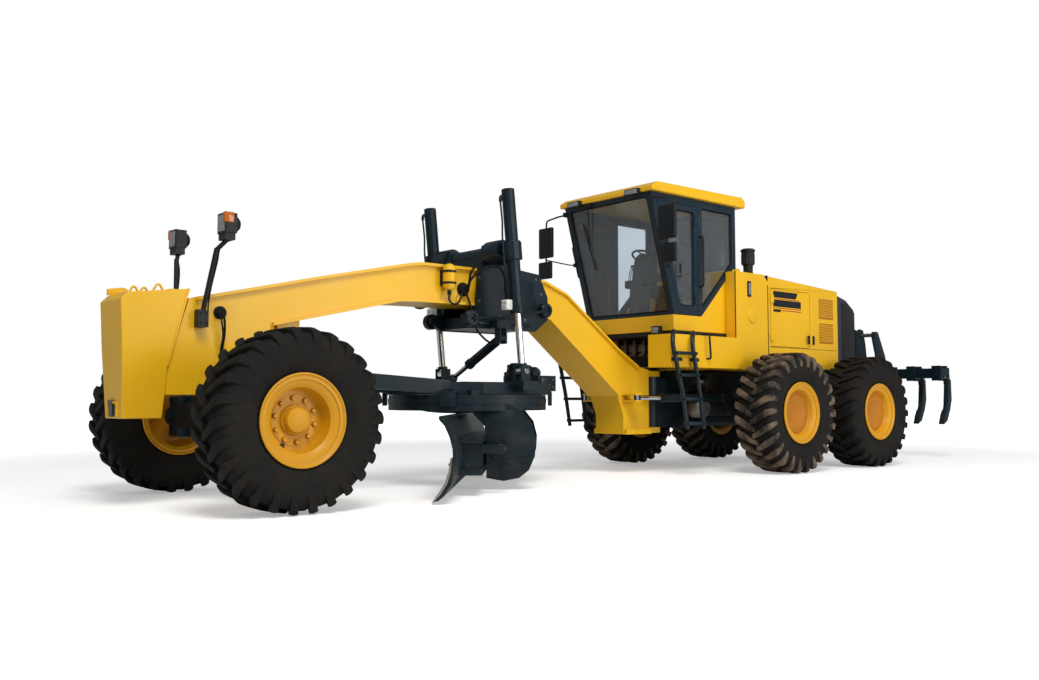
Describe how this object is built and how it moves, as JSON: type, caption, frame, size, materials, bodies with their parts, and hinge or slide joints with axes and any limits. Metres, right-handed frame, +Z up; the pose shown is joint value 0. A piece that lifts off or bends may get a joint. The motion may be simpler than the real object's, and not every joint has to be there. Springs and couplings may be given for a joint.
{
  "type": "motor grader",
  "caption": "Articulated motor grader with a circle-hung blade, tandem rear drive, glazed cab, front push block and rear ripper.",
  "frame": {"origin": "on the ground, under the middle of the machine's own box", "axes": "+X forward, +Y to the machine's left, +Z up"},
  "size_m": [12.28, 3.3024, 3.52],
  "materials": {
    "yellow_paint": "gloss",
    "dark_paint": "satin",
    "tyre_rubber": "matt",
    "rim_yellow": "satin",
    "rod_chrome": "polished",
    "window_glass": "clear",
    "cab_trim": "matt",
    "grey_paint": "satin"
  },
  "bodies": {
    "chassis": {"rear_frame": "dark_paint", "tandem_case_left": "dark_paint", "tandem_case_right": "dark_paint", "cab_base": "yellow_paint", "cab_shell": "dark_paint", "cab_roof": "yellow_paint", "windscreen": "window_glass", "rear_window": "window_glass", "quarter_window_left": "window_glass", "quarter_window_right": "window_glass", "operator_seat": "cab_trim", "control_console": "cab_trim", "tank_module": "yellow_paint", "engine_hood": "yellow_paint", "radiator_cowl": "grey_paint", "engine_block": "grey_paint", "exhaust_stack": "dark_paint"},
    "cab_door_left_body": {"cab_door_left": "dark_paint", "door_glass_left": "window_glass"},
    "cab_door_right_body": {"cab_door_right": "dark_paint", "door_glass_right": "window_glass"},
    "hood_door_left_body": {"hood_door_left": "yellow_paint"},
    "hood_door_right_body": {"hood_door_right": "yellow_paint"},
    "front_module": {"front_frame": "yellow_paint", "front_block": "yellow_paint", "lamp_post_left": "dark_paint", "lamp_post_right": "dark_paint", "lift_saddle": "dark_paint", "front_axle": "dark_paint"},
    "steer_left": {"knuckle_left": "dark_paint"},
    "steer_right": {"knuckle_right": "dark_paint"},
    "steer_link": {"steer_rod": "rod_chrome"},
    "drawbar_body": {"drawbar": "dark_paint"},
    "circle_body": {"circle": "dark_paint"},
    "blade_body": {"moldboard": "dark_paint"},
    "shift_cylinder": {"shift_barrel": "dark_paint"},
    "shift_piston": {"shift_rod": "rod_chrome"},
    "ripper_body": {"ripper_frame": "dark_paint"},
    "ripper_cylinder": {"ripper_barrel": "dark_paint"},
    "ripper_piston": {"ripper_rod": "rod_chrome"},
    "artic_cylinder_left": {"artic_barrel_left": "dark_paint"},
    "artic_piston_left": {"artic_rod_left": "rod_chrome"},
    "lift_cylinder_left": {"lift_barrel_left": "dark_paint"},
    "lift_piston_left": {"lift_rod_left": "rod_chrome"},
    "artic_cylinder_right": {"artic_barrel_right": "dark_paint"},
    "artic_piston_right": {"artic_rod_right": "rod_chrome"},
    "lift_cylinder_right": {"lift_barrel_right": "dark_paint"},
    "lift_piston_right": {"lift_rod_right": "rod_chrome"},
    "wheel_front_left": {"tyre_front_left": "tyre_rubber", "rim_front_left": "rim_yellow"},
    "wheel_front_right": {"tyre_front_right": "tyre_rubber", "rim_front_right": "rim_yellow"},
    "wheel_middle_left": {"tyre_middle_left": "tyre_rubber", "rim_middle_left": "rim_yellow"},
    "wheel_middle_right": {"tyre_middle_right": "tyre_rubber", "rim_middle_right": "rim_yellow"},
    "wheel_rear_left": {"tyre_rear_left": "tyre_rubber", "rim_rear_left": "rim_yellow"},
    "wheel_rear_right": {"tyre_rear_right": "tyre_rubber", "rim_rear_right": "rim_yellow"}
  },
  "joints": [
    {"name": "articulation", "type": "hinge", "parent": "chassis", "child": "front_module", "pos_m": [-0.54, 0, 0.88], "axis": [0, 0, 1], "range_deg": [-20, 20]},
    {"name": "steering", "type": "hinge", "parent": "front_module", "child": "steer_left", "pos_m": [5.11, 0.93, 0.745], "axis": [0, 0, 1], "range_deg": [-38, 38]},
    {"name": "steering_right", "type": "hinge", "parent": "front_module", "child": "steer_right", "pos_m": [5.11, -0.93, 0.745], "axis": [0, 0, 1], "range_deg": [-38.5, 38.5]},
    {"name": "steering_rod", "type": "slide", "parent": "front_module", "child": "steer_link", "axis": [0, 1, 0], "range_m": [-0.185, 0.185]},
    {"name": "spin_front_left", "type": "hinge", "parent": "steer_left", "child": "wheel_front_left", "pos_m": [5.11, 1.25, 0.745], "axis": [0, 1, 0], "continuous": true},
    {"name": "spin_front_right", "type": "hinge", "parent": "steer_right", "child": "wheel_front_right", "pos_m": [5.11, -1.25, 0.745], "axis": [0, 1, 0], "continuous": true},
    {"name": "spin_middle_left", "type": "hinge", "parent": "chassis", "child": "wheel_middle_left", "pos_m": [-1.62, 1.33, 0.745], "axis": [0, 1, 0], "continuous": true},
    {"name": "spin_middle_right", "type": "hinge", "parent": "chassis", "child": "wheel_middle_right", "pos_m": [-1.62, -1.33, 0.745], "axis": [0, 1, 0], "continuous": true},
    {"name": "spin_rear_left", "type": "hinge", "parent": "chassis", "child": "wheel_rear_left", "pos_m": [-3.46, 1.33, 0.745], "axis": [0, 1, 0], "continuous": true},
    {"name": "spin_rear_right", "type": "hinge", "parent": "chassis", "child": "wheel_rear_right", "pos_m": [-3.46, -1.33, 0.745], "axis": [0, 1, 0], "continuous": true},
    {"name": "drawbar_lift", "type": "hinge", "parent": "front_module", "child": "drawbar_body", "pos_m": [4.51, 0, 1.15], "axis": [0, 1, 0], "range_deg": [-8, 6]},
    {"name": "circle_turn", "type": "hinge", "parent": "drawbar_body", "child": "circle_body", "pos_m": [2.36, 0, 0.93], "axis": [0, 0, 1], "continuous": true},
    {"name": "blade_shift", "type": "slide", "parent": "circle_body", "child": "blade_body", "axis": [0.6691, 0.7431, 0], "range_m": [-0.5, 0.5]},
    {"name": "lift_swing_left", "type": "hinge", "parent": "front_module", "child": "lift_cylinder_left", "pos_m": [2.31, 0.7, 2.46], "axis": [0, 1, 0], "range_deg": [-1.4, 1.2]},
    {"name": "lift_rod_left", "type": "slide", "parent": "lift_cylinder_left", "child": "lift_piston_left", "axis": [-0.1026, 0, -0.9947], "range_m": [-0.26, 0.34]},
    {"name": "lift_swing_right", "type": "hinge", "parent": "front_module", "child": "lift_cylinder_right", "pos_m": [2.31, -0.7, 2.46], "axis": [0, 1, 0], "range_deg": [-1.4, 1.2]},
    {"name": "lift_rod_right", "type": "slide", "parent": "lift_cylinder_right", "child": "lift_piston_right", "axis": [-0.1026, 0, -0.9947], "range_m": [-0.26, 0.34]},
    {"name": "shift_swing", "type": "hinge", "parent": "front_module", "child": "shift_cylinder", "pos_m": [2.24, 0.42, 1.56], "axis": [1, 0, 0], "range_deg": [-14, 19]},
    {"name": "shift_rod", "type": "slide", "parent": "shift_cylinder", "child": "shift_piston", "axis": [0, -0.8987, -0.4386], "range_m": [-0.12, 0.15]},
    {"name": "artic_swing_left", "type": "hinge", "parent": "chassis", "child": "artic_cylinder_left", "pos_m": [-1.29, 0.6, 0.93], "axis": [0, 0, 1], "range_deg": [-8.5, 8.5]},
    {"name": "artic_rod_left", "type": "slide", "parent": "artic_cylinder_left", "child": "artic_piston_left", "axis": [0.9919, -0.1266, 0], "range_m": [-0.18, 0.18]},
    {"name": "artic_swing_right", "type": "hinge", "parent": "chassis", "child": "artic_cylinder_right", "pos_m": [-1.29, -0.6, 0.93], "axis": [0, 0, 1], "range_deg": [-8.5, 8.5]},
    {"name": "artic_rod_right", "type": "slide", "parent": "artic_cylinder_right", "child": "artic_piston_right", "axis": [0.9919, 0.1266, 0], "range_m": [-0.18, 0.18]},
    {"name": "ripper_lift", "type": "hinge", "parent": "chassis", "child": "ripper_body", "pos_m": [-4.79, 0, 0.95], "axis": [0, 1, 0], "range_deg": [-40, 5]},
    {"name": "ripper_swing", "type": "hinge", "parent": "chassis", "child": "ripper_cylinder", "pos_m": [-4.73, 0, 1.29], "axis": [0, 1, 0], "range_deg": [-42, 6]},
    {"name": "ripper_rod", "type": "slide", "parent": "ripper_cylinder", "child": "ripper_piston", "axis": [-0.8011, 0, 0.5985], "range_m": [-0.04, 0.25]},
    {"name": "cab_door_left", "type": "hinge", "parent": "chassis", "child": "cab_door_left_body", "pos_m": [-0.665, 0.7525, 2.6], "axis": [0, 0, 1], "range_deg": [0, 80]},
    {"name": "hood_door_left", "type": "hinge", "parent": "chassis", "child": "hood_door_left_body", "pos_m": [-1.93, 0.9125, 1.98], "axis": [0, 0, -1], "range_deg": [0, 75]},
    {"name": "cab_door_right", "type": "hinge", "parent": "chassis", "child": "cab_door_right_body", "pos_m": [-0.665, -0.7525, 2.6], "axis": [0, 0, -1], "range_deg": [0, 80]},
    {"name": "hood_door_right", "type": "hinge", "parent": "chassis", "child": "hood_door_right_body", "pos_m": [-1.93, -0.9125, 1.98], "axis": [0, 0, 1], "range_deg": [0, 75]}
  ],
  "couplings": [
    {"joint": "steering_right", "follows": "steering", "ratio": 1},
    {"joint": "steering_rod", "follows": "steering", "m_per_rad": -0.265},
    {"joint": "lift_swing_left", "follows": "drawbar_lift", "ratio": 0.14},
    {"joint": "lift_rod_left", "follows": "drawbar_lift", "m_per_rad": -2.31},
    {"joint": "lift_swing_right", "follows": "drawbar_lift", "ratio": 0.14},
    {"joint": "lift_rod_right", "follows": "drawbar_lift", "m_per_rad": -2.31},
    {"joint": "shift_swing", "follows": "drawbar_lift", "ratio": -2.25},
    {"joint": "shift_rod", "follows": "drawbar_lift", "m_per_rad": -0.9},
    {"joint": "artic_swing_left", "follows": "articulation", "ratio": 0.42},
    {"joint": "artic_rod_left", "follows": "articulation", "m_per_rad": -0.5},
    {"joint": "artic_swing_right", "follows": "articulation", "ratio": 0.42},
    {"joint": "artic_rod_right", "follows": "articulation", "m_per_rad": 0.5},
    {"joint": "ripper_swing", "follows": "ripper_lift", "ratio": 1.03},
    {"joint": "ripper_rod", "follows": "ripper_lift", "m_per_rad": -0.337}
  ]
}
